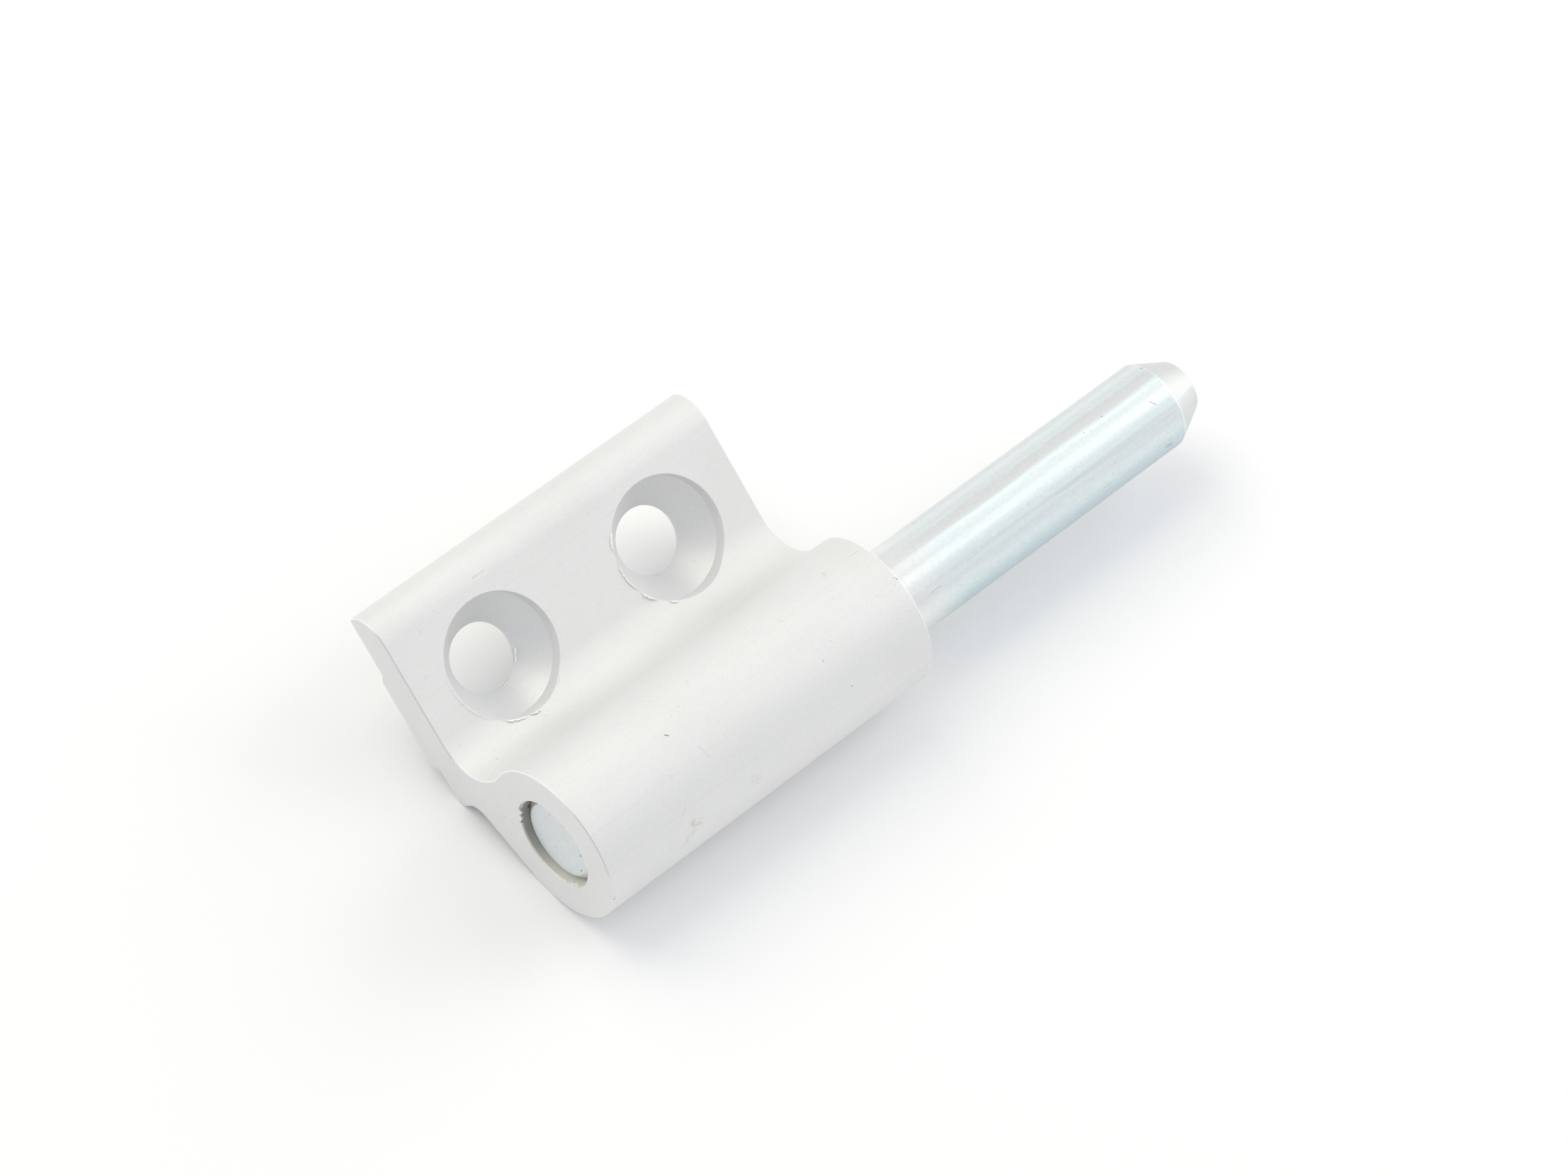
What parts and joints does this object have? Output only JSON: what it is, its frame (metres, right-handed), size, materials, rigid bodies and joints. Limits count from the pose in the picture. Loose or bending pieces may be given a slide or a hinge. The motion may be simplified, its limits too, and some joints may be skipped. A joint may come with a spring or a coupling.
{
  "type": "tailgate hinge",
  "caption": "Pin half of a lift-off tailgate hinge: extruded leaf with countersunk screw holes, raised seating land and a knuckle, with a long pressed-in pin that ends in a lead-in cone.",
  "frame": {"origin": "on the raised land of the leaf's back, which is the seating face, halfway between the two screw holes", "axes": "+X along the pin towards its free tip, +Y across the leaf towards its tip, +Z out of the seating face, the way the screw heads face"},
  "size_m": [0.1052, 0.0428, 0.0299],
  "materials": {
    "leaf_aluminium": "satin natural anodised extrusion with fine grain, cut faces slightly brighter",
    "pin_steel": "bright zinc plated over drawn and turned steel, with a faint blue tint"
  },
  "bodies": {
    "root": {"hinge_leaf": "leaf_aluminium", "hinge_pin": "pin_steel"}
  },
  "joints": []
}
